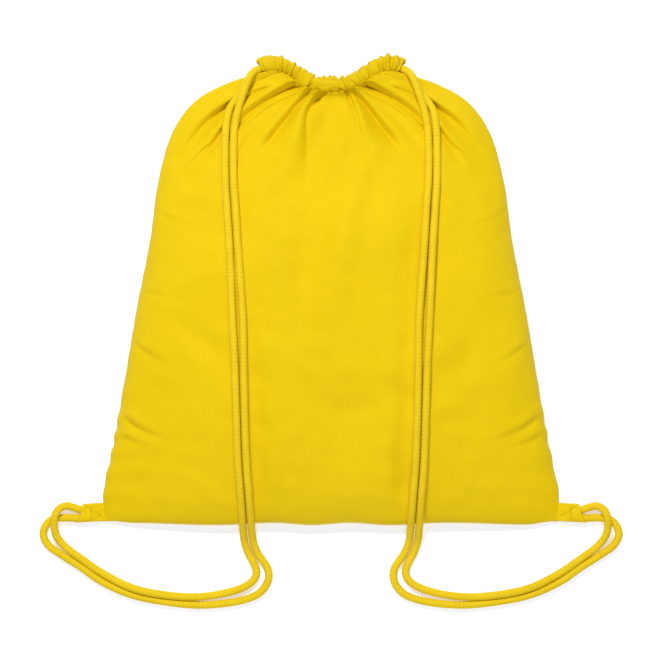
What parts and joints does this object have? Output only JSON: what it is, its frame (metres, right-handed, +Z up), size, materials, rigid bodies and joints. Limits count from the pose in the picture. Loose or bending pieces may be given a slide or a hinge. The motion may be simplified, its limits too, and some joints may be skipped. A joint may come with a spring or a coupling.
{
  "type": "drawstring backpack",
  "caption": "Thin cotton drawstring bag lying flat with its mouth drawn shut; braided cords run through the casings to corner tabs and serve as shoulder straps.",
  "frame": {"origin": "under the middle of the bag, on the surface that it lies on, free cords left out", "axes": "+X across the bag towards its right corner tab, +Y from the bottom seam to the mouth, +Z up out of the front panel"},
  "size_m": [0.4562, 0.4325, 0.0497],
  "materials": {
    "panel_cotton": "plain woven cotton, matte",
    "hem_cotton": "plain woven cotton, folded and ruched, matte",
    "cord_cotton": "round braided cotton cord, matte",
    "thread": "polyester sewing thread, slight sheen"
  },
  "bodies": {
    "bag": {"front_panel": "panel_cotton", "rear_panel": "panel_cotton", "left_side_seam": "hem_cotton", "right_side_seam": "hem_cotton", "bottom_seam": "hem_cotton", "front_casing": "hem_cotton", "rear_casing": "hem_cotton", "front_casing_stitch": "thread", "rear_casing_stitch": "thread", "left_corner_tab": "panel_cotton", "right_corner_tab": "panel_cotton", "left_tab_bartack": "thread", "right_tab_bartack": "thread", "left_cord_channel_run": "cord_cotton", "right_cord_channel_run": "cord_cotton", "left_front_cord_shoulder": "cord_cotton", "left_front_cord_tail": "cord_cotton", "left_rear_cord_shoulder": "cord_cotton", "left_rear_cord_tail": "cord_cotton", "right_front_cord_shoulder": "cord_cotton", "right_front_cord_tail": "cord_cotton", "right_rear_cord_shoulder": "cord_cotton", "right_rear_cord_tail": "cord_cotton"},
    "left_strap": {"left_front_cord_strand": "cord_cotton", "left_rear_cord_strand": "cord_cotton"},
    "right_strap": {"right_front_cord_strand": "cord_cotton", "right_rear_cord_strand": "cord_cotton"}
  },
  "joints": [
    {"name": "left_strap_swing", "type": "hinge", "parent": "bag", "child": "left_strap", "pos_m": [-0.077, 0.1359, 0.028], "axis": [-0.3961, -0.9161, -0.0628], "range_deg": [0, 120]},
    {"name": "right_strap_swing", "type": "hinge", "parent": "bag", "child": "right_strap", "pos_m": [0.077, 0.1359, 0.028], "axis": [-0.3961, 0.9161, 0.0628], "range_deg": [0, 120]}
  ]
}
